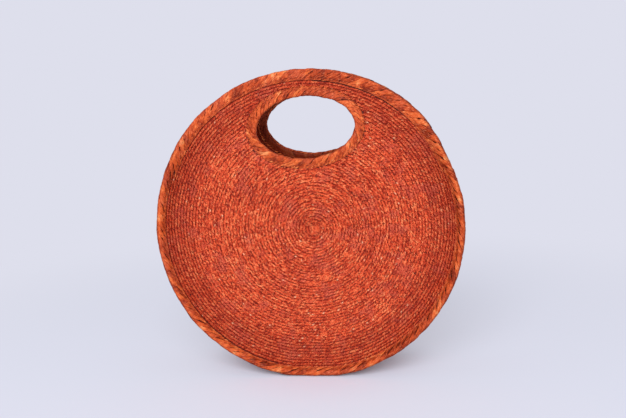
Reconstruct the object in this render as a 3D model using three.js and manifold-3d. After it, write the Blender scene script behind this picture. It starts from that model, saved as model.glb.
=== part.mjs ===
// A round straw bag: two spiral-sewn discs, joined round the sides and the bottom by a sewn gusset.
// Folded braid covers every edge. The gusset stops below the top, which leaves the mouth open,
// and an oval hand hole in each disc makes the handle.
// The front of the bag faces -Y, +X is to its right as seen from the front, and +Z is up.
// Z = 0 is the surface that the bag stands on.
import * as THREE from "three";
import { mergeVertices } from "three/addons/utils/BufferGeometryUtils.js";
import Module from "manifold-3d";

// Driving dimensions, in millimetres and degrees.
const PANEL_RADIUS = 165.6; // a disc laid flat, from its middle to its edge
const PANEL_THICKNESS = 2.2;
const FACE_SPREAD = 58; // between the outer faces of the two discs
const EDGE_STRIP = 12.8; // the straight strip at a disc's edge, which the braid grips
const BORDER_BEND = 13.8; // the length of the bend between a disc's face and that strip
const BORDER_FLARE = 47; // how far the border leans outwards along the gusset
const FLARE_EASE = 32; // the angle past the gusset's end over which the lean dies away
const GUSSET_THICKNESS = 2.2;
const GUSSET_BEND_RADIUS = 20; // from the gusset's floor up to its leaning edges
const MOUTH_HALF_ANGLE = 67; // from the top of the bag down to each end of the gusset
const BRAID_THICKNESS = 1.2;
const EDGE_BRAID_SETBACK = 0.8; // from the end of the edge strip to the braid on it
const HANDLE_WIDTH = 104; // the clear hand hole
const HANDLE_HEIGHT = 67;
const HANDLE_BRAID_WIDTH = 10;
const HANDLE_BRIDGE = 6.2; // the bare straw between the mouth's braid and the handle's
const GUSSET_BRAID_WIDTH = 9;
const BASE_DEPTH = 2.4; // how far the rims are pressed flat where the bag stands
const CLEARANCE = 0.3; // between pieces that are sewn together
const FOLD_ROUNDING = 0.9; // share of the braid's thickness that a fold's outer corners lose

// How finely the round forms are cut.
const MOUTH_STEPS = 48;
const GUSSET_STEPS = 56;
const HANDLE_STEPS = 48;
const BORDER_BEND_STEPS = 3;
const GUSSET_BEND_STEPS = 4;
const SAME_POINT = 1e-4;

const FRONT = -1;
const BACK = 1;
const radians = THREE.MathUtils.degToRad;

// The layers at a sewn edge, counted from a disc's outer face: plus is outwards.
const braidTop = CLEARANCE + BRAID_THICKNESS;
const discInside = -PANEL_THICKNESS;
const gussetTop = discInside - CLEARANCE;
const gussetUnder = gussetTop - GUSSET_THICKNESS;
const edgeBraidReach = EDGE_STRIP - EDGE_BRAID_SETBACK;
const foldCorner = FOLD_ROUNDING * BRAID_THICKNESS;

const flatRadius = PANEL_RADIUS - EDGE_STRIP - BORDER_BEND;
const faceOffset = FACE_SPREAD / 2;
const mouthEnd = radians(MOUTH_HALF_ANGLE);
const fullTurn = 2 * Math.PI;

// The border's lean at an angle from the top of the bag: none over the hand hole, full on the gusset.
function leanAt(angle) {
  const fromTop = Math.acos(Math.cos(angle));
  const ease = radians(FLARE_EASE);
  return radians(BORDER_FLARE) * THREE.MathUtils.smoothstep(fromTop, mouthEnd - ease, mouthEnd);
}

// A point of the bend, as [radius, offset from the bag's middle plane], at a share of its length.
function bendPoint(lean, share, depth) {
  const turned = lean * share;
  const isFlat = lean === 0;
  const outwards = isFlat ? BORDER_BEND * share : (BORDER_BEND / lean) * Math.sin(turned);
  const sideways = isFlat ? 0 : (BORDER_BEND / lean) * (1 - Math.cos(turned));
  return [
    flatRadius + outwards - depth * Math.sin(turned),
    faceOffset + sideways + depth * Math.cos(turned),
  ];
}

// A point of the edge strip: `past` is counted from the disc's edge, `depth` from its outer face.
function stripPoint(lean, past, depth) {
  const [radius, offset] = bendPoint(lean, 1, depth);
  const along = EDGE_STRIP + past;
  return [radius + along * Math.cos(lean), offset + along * Math.sin(lean)];
}

// The fold's outermost corner is pressed level, so that the rim has a narrow flat to stand on.
const fullLean = radians(BORDER_FLARE);
const seamUnder = gussetUnder - braidTop;
const levelRise = foldCorner * Math.tan(fullLean);
const seamLevel = [
  [braidTop, seamUnder + foldCorner],
  [braidTop - levelRise, seamUnder],
];
const rimRadius = stripPoint(fullLean, ...seamLevel[0])[0];
const centreHeight = rimRadius - BASE_DEPTH;

// How far the floor pushes the straw inwards near the bottom of the bag. The push is full at the
// rim and dies away halfway to the middle of the disc.
const pressedHalfAngle = Math.acos(centreHeight / rimRadius);
function basePush(angle, radius) {
  const fromBottom = Math.PI - Math.acos(Math.cos(angle));
  if (fromBottom > pressedHalfAngle) return 0;
  const rimPush = rimRadius - centreHeight / Math.cos(fromBottom);
  return rimPush * THREE.MathUtils.smoothstep(radius, flatRadius / 2, rimRadius);
}

function place(side, angle, radius, offset) {
  const pressed = radius - basePush(angle, radius);
  return new THREE.Vector3(
    pressed * Math.sin(angle),
    side * offset,
    centreHeight + pressed * Math.cos(angle),
  );
}

// The triangles that close one end of a solid, in the order of the ring's own turning.
function endTriangles(ring) {
  const origin = ring[0];
  const arms = ring.map((p) => p.clone().sub(origin));
  const normal = new THREE.Vector3();
  arms.forEach((arm, j) => normal.add(arm.clone().cross(arms[(j + 1) % arms.length])));
  const across = arms[1].clone().normalize();
  const up = normal.normalize().cross(across);
  const outline = arms.map((arm) => new THREE.Vector2(arm.dot(across), arm.dot(up)));
  return THREE.ShapeUtils.triangulateShape(outline, []).map((face) => face.map((j) => ring[j]));
}

// Joins a row of like cross-sections into one closed solid, with the last joined to the first
// when it is a ring. Each four-sided patch is split from its low-radius corner, so that the
// facing patches of two layers stay parallel.
function loft(rings, isRing) {
  const count = rings[0].length;
  const faces = [];
  const spread = (p) => Math.hypot(p.x, p.z - centreHeight);
  const spans = isRing ? rings.length : rings.length - 1;
  for (let i = 0; i < spans; i++) {
    const near = rings[i];
    const far = rings[(i + 1) % rings.length];
    for (let j = 0; j < count; j++) {
      const k = (j + 1) % count;
      const patch = [near[j], far[j], far[k], near[k]];
      const order = spread(near[j]) <= spread(near[k]) ? [0, 1, 2, 0, 2, 3] : [0, 1, 3, 1, 2, 3];
      const split = order.map((corner) => patch[corner]);
      faces.push(split.slice(0, 3), split.slice(3));
    }
  }
  if (!isRing) {
    faces.push(...endTriangles(rings[0]));
    faces.push(...endTriangles(rings[spans]).map((face) => face.reverse()));
  }
  const isWhole = ([a, b, c]) => Math.min(a.distanceTo(b), b.distanceTo(c), c.distanceTo(a)) > SAME_POINT;
  const corners = faces.filter(isWhole).flat();
  return facingOut(mergeVertices(new THREE.BufferGeometry().setFromPoints(corners), SAME_POINT));
}

// Turns a closed mesh round if its faces point inwards.
function facingOut(geometry) {
  const position = geometry.attributes.position;
  const index = geometry.index.array;
  const [a, b, c] = [new THREE.Vector3(), new THREE.Vector3(), new THREE.Vector3()];
  let volume = 0;
  for (let i = 0; i < index.length; i += 3) {
    a.fromBufferAttribute(position, index[i]);
    b.fromBufferAttribute(position, index[i + 1]);
    c.fromBufferAttribute(position, index[i + 2]);
    volume += a.dot(b.cross(c));
  }
  if (volume < 0) {
    for (let i = 0; i < index.length; i += 3) {
      const kept = index[i + 1];
      index[i + 1] = index[i + 2];
      index[i + 2] = kept;
    }
  }
  return geometry;
}

// The angles at which every piece is cut, so that the facets of neighbours match.
function anglesBetween(start, end, steps) {
  return Array.from({ length: steps + 1 }, (unused, i) => start + ((end - start) * i) / steps);
}
const mouthAngles = anglesBetween(-mouthEnd, mouthEnd, MOUTH_STEPS);
const gussetAngles = anglesBetween(mouthEnd, fullTurn - mouthEnd, GUSSET_STEPS);

// Pulls the two ends of a run of angles in by a distance along the rim.
function shortened(angles, distance) {
  const trim = distance / rimRadius;
  const inner = angles.slice(1, -1);
  return [angles[0] + trim, ...inner, angles[angles.length - 1] - trim];
}

// Solid geometry in and out of manifold-3d, for the one cut that the bag needs.
const wasm = await Module();
wasm.setup();
function toSolid(geometry) {
  const bare = geometry.clone();
  bare.deleteAttribute("normal");
  bare.deleteAttribute("uv");
  const merged = mergeVertices(bare, SAME_POINT);
  return new wasm.Manifold(
    new wasm.Mesh({
      numProp: 3,
      vertProperties: new Float32Array(merged.attributes.position.array),
      triVerts: new Uint32Array(merged.index.array),
    }),
  );
}
function toGeometry(solid) {
  const mesh = solid.getMesh();
  const geometry = new THREE.BufferGeometry();
  geometry.setAttribute("position", new THREE.BufferAttribute(mesh.vertProperties, 3));
  geometry.setIndex(new THREE.BufferAttribute(mesh.triVerts, 1));
  return geometry;
}

// The hand hole: an oval whose outline can be offset outwards, as [sideways, height] points.
const handleHeight =
  centreHeight + PANEL_RADIUS - edgeBraidReach - HANDLE_BRIDGE - HANDLE_BRAID_WIDTH - HANDLE_HEIGHT / 2;
function handleOutline(grown) {
  return Array.from({ length: HANDLE_STEPS }, (unused, i) => {
    const turn = (fullTurn * i) / HANDLE_STEPS;
    const outwards = new THREE.Vector2(
      (HANDLE_HEIGHT / 2) * Math.cos(turn),
      (HANDLE_WIDTH / 2) * Math.sin(turn),
    ).setLength(grown);
    return [
      (HANDLE_WIDTH / 2) * Math.cos(turn) + outwards.x,
      handleHeight + (HANDLE_HEIGHT / 2) * Math.sin(turn) + outwards.y,
    ];
  });
}

// A disc: flat in the middle, leaning outwards along the gusset, with its hand hole cut through.
function panelGeometry(side) {
  const angles = [...mouthAngles.slice(0, -1), ...gussetAngles.slice(0, -1)];
  const shares = anglesBetween(0, 1, BORDER_BEND_STEPS);
  const rings = angles.map((angle) => {
    const lean = leanAt(angle);
    const face = (depth) => [
      [0, faceOffset + depth],
      ...shares.map((share) => bendPoint(lean, share, depth)),
      stripPoint(lean, 0, depth),
    ];
    return [...face(0), ...face(discInside).reverse()].map((p) => place(side, angle, ...p));
  });
  const outline = handleOutline(braidTop).map(([x, z]) => new THREE.Vector2(x, z));
  const through = { depth: FACE_SPREAD, bevelEnabled: false };
  const plug = new THREE.ExtrudeGeometry(new THREE.Shape(outline), through);
  plug.rotateX(Math.PI / 2);
  plug.translate(0, side < 0 ? 0 : FACE_SPREAD, 0);
  return toGeometry(toSolid(loft(rings, true)).subtract(toSolid(plug)));
}

// The cross-section of braid folded over an edge whose lowest layer ends at `under`.
function foldedBraid(under, level) {
  const bottom = under - braidTop;
  const lowCorner = level ?? [
    [braidTop, bottom + foldCorner],
    [braidTop - foldCorner, bottom],
  ];
  return [
    [-edgeBraidReach, braidTop],
    [braidTop - foldCorner, braidTop],
    [braidTop, braidTop - foldCorner],
    ...lowCorner,
    [-edgeBraidReach, bottom],
    [-edgeBraidReach, under - CLEARANCE],
    [CLEARANCE, under - CLEARANCE],
    [CLEARANCE, CLEARANCE],
    [-edgeBraidReach, CLEARANCE],
  ];
}

function edgeBraidGeometry(side, angles, section) {
  const rings = shortened(angles, CLEARANCE / 2).map((angle) =>
    section.map(([past, depth]) => place(side, angle, ...stripPoint(leanAt(angle), past, depth))),
  );
  return loft(rings, false);
}

// Half of the gusset's cross-section, from its leaning edge to the floor's bend, on one surface.
function gussetSide(depth) {
  const under = stripPoint(fullLean, -EDGE_STRIP, gussetUnder);
  const middle = [
    under[0] + GUSSET_BEND_RADIUS * Math.sin(fullLean),
    under[1] - GUSSET_BEND_RADIUS * Math.cos(fullLean),
  ];
  const reach = GUSSET_BEND_RADIUS + depth - gussetUnder;
  const turns = anglesBetween(fullLean, Math.PI / 2, GUSSET_BEND_STEPS);
  return turns.map((turn) => [middle[0] - reach * Math.sin(turn), middle[1] + reach * Math.cos(turn)]);
}

// Both halves of one surface, from the front one's first point to the back one's.
function bothHalves(half) {
  const front = half.map((p) => [FRONT, ...p]);
  const back = half.map((p) => [BACK, ...p]).reverse();
  return [...front, ...back];
}
function gussetAcross(depth) {
  return bothHalves([stripPoint(fullLean, 0, depth), ...gussetSide(depth)]);
}

// The gusset's ends stand back from the ends of its seams by the fold of their own braid.
const gussetCut = shortened(gussetAngles, braidTop);
function gussetGeometry() {
  const section = [...gussetAcross(gussetTop), ...gussetAcross(gussetUnder).reverse()];
  const rings = gussetCut.map((angle) =>
    section.map(([side, radius, offset]) => place(side, angle, radius, offset)),
  );
  return loft(rings, false);
}

// Braid folded over one end of the gusset. It starts halfway up the bends, clear of the discs.
function gussetBraidGeometry(endAngle, nextAngle) {
  const inside = bothHalves(gussetSide(gussetTop).slice(GUSSET_BEND_STEPS / 2));
  const outside = bothHalves(gussetSide(gussetUnder).slice(GUSSET_BEND_STEPS / 2));
  const rings = inside.map(([side, ...innerPoint], i) => {
    const inner = place(side, endAngle, ...innerPoint);
    const outer = place(side, endAngle, ...outside[i].slice(1));
    const innerRun = place(side, nextAngle, ...innerPoint).sub(inner).normalize();
    const outerRun = place(side, nextAngle, ...outside[i].slice(1)).sub(outer).normalize();
    const out = outer.clone().sub(inner).normalize();
    const onOuter = (run, rise) => outer.clone().addScaledVector(outerRun, run).addScaledVector(out, rise);
    const onInner = (run, rise) => inner.clone().addScaledVector(innerRun, run).addScaledVector(out, -rise);
    return [
      onOuter(GUSSET_BRAID_WIDTH, braidTop),
      onOuter(foldCorner - braidTop, braidTop),
      onOuter(-braidTop, braidTop - foldCorner),
      onInner(-braidTop, braidTop - foldCorner),
      onInner(foldCorner - braidTop, braidTop),
      onInner(GUSSET_BRAID_WIDTH, braidTop),
      onInner(GUSSET_BRAID_WIDTH, CLEARANCE),
      onInner(-CLEARANCE, CLEARANCE),
      onOuter(-CLEARANCE, CLEARANCE),
      onOuter(GUSSET_BRAID_WIDTH, CLEARANCE),
    ];
  });
  return loft(rings, false);
}

// Braid folded over the edge of a hand hole, on both faces of the disc.
function handleBraidGeometry(side) {
  const outer = faceOffset + braidTop;
  const inner = faceOffset + discInside - braidTop;
  const section = [
    [HANDLE_BRAID_WIDTH, outer],
    [foldCorner, outer],
    [0, outer - foldCorner],
    [0, inner + foldCorner],
    [foldCorner, inner],
    [HANDLE_BRAID_WIDTH, inner],
    [HANDLE_BRAID_WIDTH, inner + BRAID_THICKNESS],
    [BRAID_THICKNESS, inner + BRAID_THICKNESS],
    [BRAID_THICKNESS, outer - BRAID_THICKNESS],
    [HANDLE_BRAID_WIDTH, outer - BRAID_THICKNESS],
  ];
  const outlines = section.map(([grown]) => handleOutline(grown));
  const rings = outlines[0].map((unused, i) =>
    section.map(([, offset], j) => new THREE.Vector3(outlines[j][i][0], side * offset, outlines[j][i][1])),
  );
  return loft(rings, true);
}

// The straw is dyed a brick orange: the sewn turns are redder and the edging braid more orange.
const sewnStraw = new THREE.MeshStandardMaterial({ color: 0xc95337, roughness: 0.75, metalness: 0 });
const edgingBraid = new THREE.MeshStandardMaterial({ color: 0xc65a30, roughness: 0.7, metalness: 0 });

const bag = new THREE.Group();
function add(name, geometry, material) {
  const mesh = new THREE.Mesh(geometry, material.clone());
  mesh.name = name;
  bag.add(mesh);
}

const mouthFold = foldedBraid(discInside);
const seamFold = foldedBraid(gussetUnder, seamLevel);
for (const [half, side] of [["front", FRONT], ["back", BACK]]) {
  add(`${half}_panel`, panelGeometry(side), sewnStraw);
  add(`${half}_handle_binding`, handleBraidGeometry(side), edgingBraid);
  add(`${half}_mouth_binding`, edgeBraidGeometry(side, mouthAngles, mouthFold), edgingBraid);
  add(`${half}_seam_binding`, edgeBraidGeometry(side, gussetAngles, seamFold), edgingBraid);
}
add("gusset", gussetGeometry(), sewnStraw);
add("right_gusset_binding", gussetBraidGeometry(gussetCut[0], gussetCut[1]), edgingBraid);
add("left_gusset_binding", gussetBraidGeometry(gussetCut.at(-1), gussetCut.at(-2)), edgingBraid);

export default bag;
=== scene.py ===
# A round straw bag, put together as its maker does it: two spiral-sewn discs, the sewn gusset
# between them, and braid folded over every edge. All sizes are in metres, in the frame's own axes:
# the front faces -Y, +X is to the right as seen from the front, and +Z is up.
import math

import bpy
import numpy as np
from mathutils import Matrix, Vector


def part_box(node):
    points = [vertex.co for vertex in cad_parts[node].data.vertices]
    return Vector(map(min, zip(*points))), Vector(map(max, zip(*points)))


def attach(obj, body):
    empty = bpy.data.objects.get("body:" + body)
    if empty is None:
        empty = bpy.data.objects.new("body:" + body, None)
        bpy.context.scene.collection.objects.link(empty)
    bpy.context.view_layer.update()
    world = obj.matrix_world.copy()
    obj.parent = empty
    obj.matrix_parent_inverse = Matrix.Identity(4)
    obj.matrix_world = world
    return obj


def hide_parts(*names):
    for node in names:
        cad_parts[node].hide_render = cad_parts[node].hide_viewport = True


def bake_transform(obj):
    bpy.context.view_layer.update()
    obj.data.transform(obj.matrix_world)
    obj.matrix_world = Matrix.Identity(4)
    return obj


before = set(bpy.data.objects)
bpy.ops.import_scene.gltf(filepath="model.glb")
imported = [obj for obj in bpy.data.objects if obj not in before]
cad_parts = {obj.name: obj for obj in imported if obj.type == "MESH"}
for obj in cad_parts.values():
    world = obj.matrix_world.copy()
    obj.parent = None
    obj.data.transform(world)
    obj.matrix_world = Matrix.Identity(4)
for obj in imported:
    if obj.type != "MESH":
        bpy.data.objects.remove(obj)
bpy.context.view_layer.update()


# Camera. It stands near the bag, a little to its right and a little above it, and it is turned
# slightly about its own axis, because the bag in the photograph has rolled to the left.
PHOTO_WIDTH = 626
PHOTO_MIDDLE = (313.0, 209.0)
BAG_MIDDLE_IN_PHOTO = (312.2, 222.2)
BAG_RADIUS_IN_PHOTO = 148.9
BAG_RADIUS = 0.1648
BASE_DEPTH = 0.0024
BAG_MIDDLE = Vector((0, 0, BAG_RADIUS - BASE_DEPTH))
CAMERA_DISTANCE = 0.85
CAMERA_AZIMUTH = math.radians(7.0)
CAMERA_ELEVATION = math.radians(9.5)
CAMERA_ROLL = math.radians(2.2)
SENSOR_WIDTH = 36.0

pixel_size = BAG_RADIUS / BAG_RADIUS_IN_PHOTO
towards_camera = Vector((
    math.sin(CAMERA_AZIMUTH) * math.cos(CAMERA_ELEVATION),
    -math.cos(CAMERA_AZIMUTH) * math.cos(CAMERA_ELEVATION),
    math.sin(CAMERA_ELEVATION),
))
level_right = Vector((math.cos(CAMERA_AZIMUTH), math.sin(CAMERA_AZIMUTH), 0))
level_up = towards_camera.cross(level_right)
camera_right = math.cos(CAMERA_ROLL) * level_right - math.sin(CAMERA_ROLL) * level_up
camera_up = math.sin(CAMERA_ROLL) * level_right + math.cos(CAMERA_ROLL) * level_up
camera_place = (
    BAG_MIDDLE
    + towards_camera * CAMERA_DISTANCE
    + camera_right * (PHOTO_MIDDLE[0] - BAG_MIDDLE_IN_PHOTO[0]) * pixel_size
    + camera_up * (BAG_MIDDLE_IN_PHOTO[1] - PHOTO_MIDDLE[1]) * pixel_size
)
camera = bpy.data.objects.new("camera", bpy.data.cameras.new("camera"))
camera.data.sensor_width = SENSOR_WIDTH
camera.data.lens = SENSOR_WIDTH / PHOTO_WIDTH * CAMERA_DISTANCE / pixel_size
camera_axes = Matrix((camera_right, camera_up, towards_camera)).transposed()
camera.matrix_world = Matrix.Translation(camera_place) @ camera_axes.to_4x4()
bpy.context.scene.collection.objects.link(camera)
bpy.context.scene.camera = camera


# Front and back discs. Each is one narrow palm braid, sewn to itself in a spiral from the middle
# outwards, every turn lapping over the last. The border leans out where the gusset is sewn on.
DISC_RADIUS = 0.1656
DISC_THICKNESS = 0.0022
FACE_OFFSET = 0.029
EDGE_STRIP = 0.0128
BORDER_BEND = 0.0138
FULL_LEAN = math.radians(47)
MOUTH_END = math.radians(67)
LEAN_EASE = math.radians(32)
FLAT_RADIUS = DISC_RADIUS - EDGE_STRIP - BORDER_BEND
MOUTH_BRAID_WIDTH = 0.010
SEAM_BRAID_WIDTH = 0.0066
TURN_PITCH = 0.0033
LEAF_SPACING = 0.0024
LEAF_LENGTH = 0.0029
LEAF_WIDTH = 0.0020
LEAF_SLANT = math.radians(42)
INNER_LEAF_SPACING = 0.0034
OUTER_LEAF_DEPTH = -0.0001
INNER_LEAF_DEPTH = -0.0021
LEAF_SCATTER = {"wander": 0.0007, "turn": 0.07, "lift": 0.00012, "spread": 0.08}
GROUND_TOP = -0.0007
GROUND_UNDER = -0.0015
SPIRAL_START = 2.2
SPIRAL_DRIFT = (0.0055, -0.0015)
START_PATH = 0.012
START_OFF_MIDDLE = 0.0006
START_LIFT = 0.0006
START_LAYER = 0.0003
START_LEAVES = ((0.4, -0.0034), (1.5, -0.0030), (2.7, 0.0008))
UNEVENNESS = 0.0004
HOLE_WIDTH = 0.104
HOLE_HEIGHT = 0.0648
HOLE_BRAID_WIDTH = 0.010
GROUND_FROM_HOLE = 0.0045
MARGIN_GAP = 0.0008
HOLE_MIDDLE_HEIGHT = sum(corner.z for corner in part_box("front_handle_binding")) / 2
PRESSED_IN = 0.0016
PRESSED_ROUND = 0.0012
FRONT_HOLE = (math.radians(3), 0.0, HOLE_MIDDLE_HEIGHT + 0.0024)
BACK_HOLE = (math.radians(1), -0.002, HOLE_MIDDLE_HEIGHT + 0.0032)
FRONT_SEED = 11
BACK_SEED = 57
HALVES = (
    ("front", np.diag((1.0, 1.0, 1.0)), FRONT_HOLE, FRONT_SEED),
    ("back", np.diag((-1.0, -1.0, 1.0)), BACK_HOLE, BACK_SEED),
)


def eased(share):
    """A smooth step from 0 to 1."""
    share = np.clip(share, 0, 1)
    return share * share * (3 - 2 * share)


def in_space(angle, radius, offset):
    """Points of the front half from polar ones: the angle is from the top, clockwise from the front.

    The surface under the bag presses the straw in a little at the bottom."""
    from_bottom = np.pi - np.arccos(np.cos(angle))
    under = PRESSED_IN + BAG_MIDDLE.z - BAG_MIDDLE.z / np.maximum(np.cos(from_bottom), 0.5)
    pressed = (under + np.sqrt(under**2 + PRESSED_ROUND**2)) / 2
    radius = radius - pressed * eased((radius - FLAT_RADIUS / 2) / (BAG_RADIUS - FLAT_RADIUS / 2))
    return np.stack((radius * np.sin(angle), -offset, BAG_MIDDLE.z + radius * np.cos(angle)), axis=-1)


def on_disc(angle, reach, depth):
    """Points of the front disc with the directions across the turns and out of the face.

    The reach is counted along the straw from the disc's middle, the depth from its outer face."""
    reach = reach + 0 * angle
    lean_share = eased((np.arccos(np.cos(angle)) - MOUTH_END + LEAN_EASE) / LEAN_EASE)
    lean = np.maximum(FULL_LEAN * lean_share, 1e-6)
    turned = lean * np.clip((reach - FLAT_RADIUS) / BORDER_BEND, 0, 1)
    strip = np.maximum(reach - FLAT_RADIUS - BORDER_BEND, 0)
    bend_radius = BORDER_BEND / lean
    x = reach * np.sin(angle)
    z = reach * np.cos(angle)
    uneven = np.sin(34 * x + 11 * z + 0.7) + np.sin(26 * z - 19 * x + 2.1)
    lift = depth + UNEVENNESS * uneven * eased((FLAT_RADIUS - reach) / BORDER_BEND)
    radius = np.minimum(reach, FLAT_RADIUS) + bend_radius * np.sin(turned) + strip * np.cos(lean)
    offset = FACE_OFFSET + bend_radius * (1 - np.cos(turned)) + strip * np.sin(lean)
    place = in_space(angle, radius - lift * np.sin(turned), offset + lift * np.cos(turned))
    drift = eased(1 - reach / FLAT_RADIUS)
    place[..., 0] += SPIRAL_DRIFT[0] * drift
    place[..., 2] += SPIRAL_DRIFT[1] * drift
    outwards = np.stack((np.sin(angle), 0 * angle, np.cos(angle)), axis=-1)
    forwards = np.array((0.0, -1.0, 0.0))
    across = outwards * np.cos(turned)[..., None] + forwards * np.sin(turned)[..., None]
    normal = forwards * np.cos(turned)[..., None] - outwards * np.sin(turned)[..., None]
    return place, across, normal


def add_object(name, vertices, faces):
    """A mesh object at the origin."""
    mesh = bpy.data.meshes.new(name)
    mesh.from_pydata([tuple(vertex) for vertex in vertices], [], faces)
    mesh.update()
    made = bpy.data.objects.new(name, mesh)
    bpy.context.scene.collection.objects.link(made)
    return made


class Wire:
    """An output socket of a node tree. Sums on it add Math nodes, or Vector Math on vectors."""

    def __init__(self, tree, socket=None):
        self.tree = tree
        self.socket = socket

    def node(self, kind, settings=None, sockets=None):
        """Adds a node, sets it up, fills or links its sockets, and gives its first output."""
        made = self.tree.nodes.new(kind)
        for key, value in (settings or {}).items():
            if key == "stops":
                ramp = made.color_ramp.elements
                while len(ramp) < len(value):
                    ramp.new(1.0)
                for stop, (place, colour) in zip(ramp, value):
                    stop.position = place
                    stop.color = colour
            else:
                setattr(made, key, value)
        for key, value in (sockets or {}).items():
            named = [s for s in made.inputs if s.enabled and s.name == key]
            target = made.inputs[key] if isinstance(key, int) else named[0]
            if isinstance(value, Wire):
                self.tree.links.new(value.socket, target)
            else:
                target.default_value = value
        shown = [s for s in made.outputs if s.enabled]
        return Wire(self.tree, shown[0] if shown else None)

    def out(self, name):
        """Another output of the same node."""
        outputs = self.socket.node.outputs
        return Wire(self.tree, next(s for s in outputs if s.enabled and s.name == name))

    def sum(self, operation, first, second):
        """The node for one operator. A vector times a value is scaled."""
        vectors = [isinstance(v, Wire) and v.socket.type == "VECTOR" for v in (first, second)]
        if vectors == [True, False]:
            return self.node(
                "ShaderNodeVectorMath", {"operation": "SCALE"}, {0: first, "Scale": second}
            )
        kind = "ShaderNodeVectorMath" if all(vectors) else "ShaderNodeMath"
        return self.node(kind, {"operation": operation}, {0: first, 1: second})

    def __add__(self, other):
        return self.sum("ADD", self, other)

    def __radd__(self, other):
        return self.sum("ADD", other, self)

    def __sub__(self, other):
        return self.sum("SUBTRACT", self, other)

    def __rsub__(self, other):
        return self.sum("SUBTRACT", other, self)

    def __mul__(self, other):
        return self.sum("MULTIPLY", self, other)

    def __rmul__(self, other):
        return self.sum("MULTIPLY", other, self)

    def __truediv__(self, other):
        return self.sum("DIVIDE", self, other)

    def __rtruediv__(self, other):
        return self.sum("DIVIDE", other, self)


def laying_tree():
    """The tree that lays copies of one straw along a path, bent to the path's own surface.

    The straw is modelled flat: x runs along the path, y across it and z out of the surface."""
    tree = bpy.data.node_groups.new("lay_straw", "GeometryNodeTree")
    sockets = (
        ("Path", "NodeSocketObject"), ("Straw", "NodeSocketObject"), ("Spacing", "NodeSocketFloat"),
        ("Seed", "NodeSocketInt"), ("Wander", "NodeSocketFloat"), ("Turn", "NodeSocketFloat"),
        ("Lift", "NodeSocketFloat"), ("Spread", "NodeSocketFloat"), ("Material", "NodeSocketMaterial"),
    )
    for name, kind in sockets:
        tree.interface.new_socket(name, in_out="INPUT", socket_type=kind)
    tree.interface.new_socket("Geometry", in_out="OUTPUT", socket_type="NodeSocketGeometry")
    start = Wire(tree)
    given = start.node("NodeGroupInput")
    path_mesh = start.node("GeometryNodeObjectInfo", None, {"Object": given.out("Path")})
    path_mesh = path_mesh.out("Geometry")
    straw = start.node("GeometryNodeObjectInfo", None, {"Object": given.out("Straw")})
    straw = straw.out("Geometry")
    path = start.node("GeometryNodeMeshToCurve", None, {"Mesh": path_mesh})
    length = start.node("GeometryNodeCurveLength", None, {"Curve": path})
    count = start.node("ShaderNodeMath", {"operation": "ROUND"}, {0: length / given.out("Spacing")})
    step = length / count
    first = start.node("ShaderNodeCombineXYZ", None, {"X": step * 0.5})
    stride = start.node("ShaderNodeCombineXYZ", None, {"X": step})
    points = start.node(
        "GeometryNodeMeshLine", None, {"Count": count, "Start Location": first, "Offset": stride}
    )
    position = start.node("GeometryNodeInputPosition")
    here = start.node("ShaderNodeSeparateXYZ", None, {"Vector": position})

    def sampled(label, kind, along):
        attribute = start.node("GeometryNodeInputNamedAttribute", {"data_type": kind}, {"Name": label})
        return start.node(
            "GeometryNodeSampleCurve", {"mode": "LENGTH", "data_type": kind},
            {"Curves": path, "Value": attribute, "Length": along},
        )

    def chance(low, high, seed_shift):
        return start.node(
            "FunctionNodeRandomValue", {"data_type": "FLOAT"},
            {"Min": low, "Max": high, "Seed": given.out("Seed") + seed_shift},
        )

    left_out = start.node(
        "FunctionNodeCompare", {"operation": "LESS_THAN"},
        {"A": sampled("kept", "FLOAT", here), "B": 0.5},
    )
    points = start.node("GeometryNodeDeleteGeometry", None, {"Geometry": points, "Selection": left_out})
    wander = {
        "X": given.out("Wander") * chance(-1.0, 1.0, 1),
        "Y": given.out("Wander") * chance(-0.4, 0.4, 2),
        "Z": given.out("Lift") * chance(-1.0, 1.0, 3),
    }
    points = start.node(
        "GeometryNodeSetPosition", None,
        {"Geometry": points, "Offset": start.node("ShaderNodeCombineXYZ", None, wander)},
    )
    turn = start.node("ShaderNodeCombineXYZ", None, {"Z": given.out("Turn") * chance(-1.0, 1.0, 4)})
    size = 1.0 + given.out("Spread") * chance(-1.0, 1.0, 5)
    laid = start.node(
        "GeometryNodeInstanceOnPoints", None,
        {"Points": points, "Instance": straw, "Rotation": turn, "Scale": size},
    )
    laid = start.node(
        "GeometryNodeStoreNamedAttribute", {"data_type": "FLOAT", "domain": "INSTANCE"},
        {"Geometry": laid, "Name": "tone", "Value": chance(0.0, 1.0, 6)},
    )
    laid = start.node("GeometryNodeRealizeInstances", None, {"Geometry": laid})
    laid = start.node(
        "GeometryNodeStoreNamedAttribute", {"data_type": "FLOAT", "domain": "POINT"},
        {"Geometry": laid, "Name": "along", "Value": here},
    )
    around = start.node("ShaderNodeMath", {"operation": "WRAP"}, {0: here, 1: length, 2: 0.0})
    on_path = sampled("across", "FLOAT_VECTOR", around)
    out_of_path = sampled("normal", "FLOAT_VECTOR", around)
    bent = on_path.out("Position") + on_path * here.out("Y") + out_of_path * here.out("Z")
    laid = start.node("GeometryNodeSetPosition", None, {"Geometry": laid, "Position": bent})
    laid = start.node("GeometryNodeSetShadeSmooth", None, {"Geometry": laid})
    laid = start.node(
        "GeometryNodeSetMaterial", None, {"Geometry": laid, "Material": given.out("Material")}
    )
    start.node("NodeGroupOutput", None, {"Geometry": laid})
    return tree


LAY_STRAW = laying_tree()


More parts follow.
